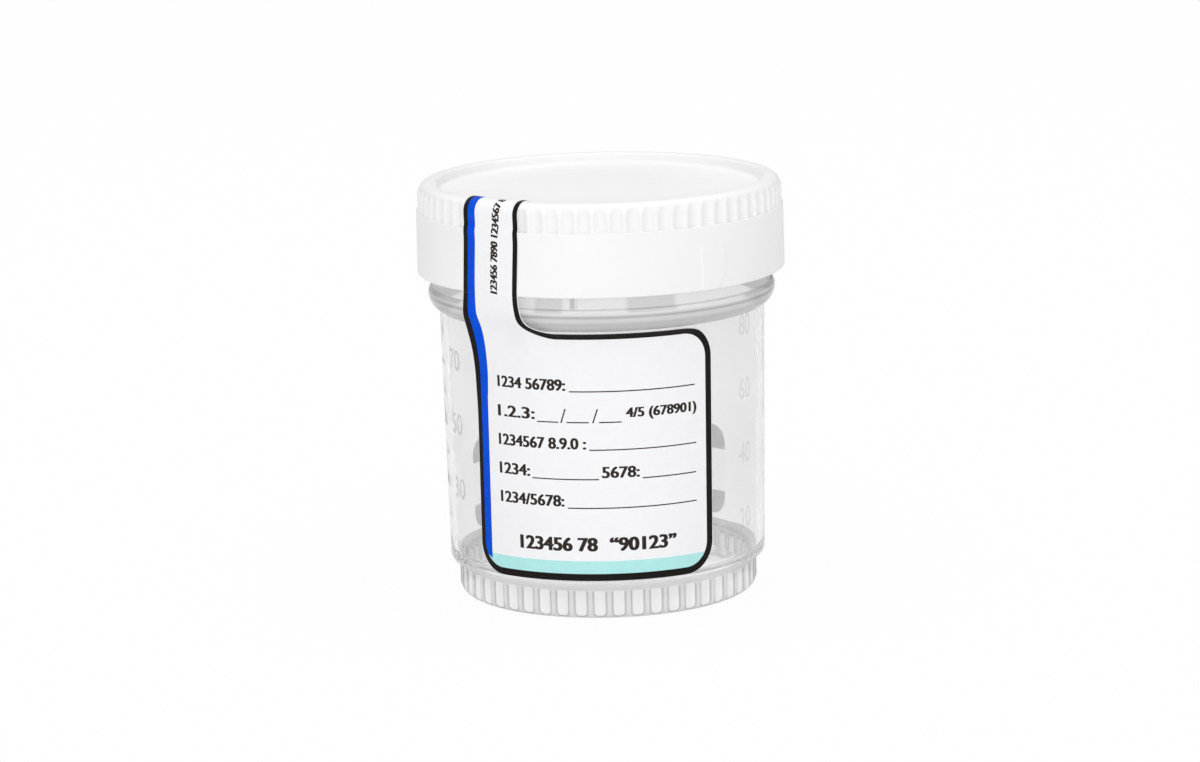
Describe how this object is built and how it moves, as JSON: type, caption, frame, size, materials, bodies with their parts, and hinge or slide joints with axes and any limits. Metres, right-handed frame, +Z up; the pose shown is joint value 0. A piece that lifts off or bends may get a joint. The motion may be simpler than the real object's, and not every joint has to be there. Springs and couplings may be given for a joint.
{
  "type": "urine specimen cup",
  "caption": "Clear plastic urine specimen cup with a quick-turn screw cap, a writing label that seals the cap, and a temperature strip.",
  "frame": {"origin": "centre of the flat foot ring, on the surface that the cup stands on", "axes": "+Z up along the cup's axis, -Y towards the front where the writing label is, +X to the right of someone facing the label"},
  "size_m": [0.06, 0.06, 0.0684],
  "materials": {
    "clear_plastic": "clear moulded polypropylene, faintly cloudy, smooth and glossy",
    "white_plastic": "white moulded polyethylene with a soft sheen",
    "foam": "soft closed-cell foam disc, matt",
    "label_paper": "smooth coated label paper with printed border, stripes and ruled lines",
    "strip_film": "printed plastic film with an adhesive back"
  },
  "bodies": {
    "cup": {"cup_body": "clear_plastic", "label_panel": "label_paper", "temperature_strip": "strip_film"},
    "disc": {"sealing_disc": "foam"},
    "cap": {"screw_cap": "white_plastic", "label_seal_strip": "label_paper"}
  },
  "joints": [
    {"name": "cap_lift", "type": "slide", "parent": "cup", "child": "disc", "axis": [0, 0, 1], "range_m": [0, 0.016]},
    {"name": "cap_turn", "type": "hinge", "parent": "disc", "child": "cap", "pos_m": [0, 0, 0.06], "axis": [0, 0, 1], "range_deg": [0, 360]}
  ],
  "couplings": [
    {"joint": "cap_lift", "follows": "cap_turn", "m_per_rad": 0.0025464}
  ]
}
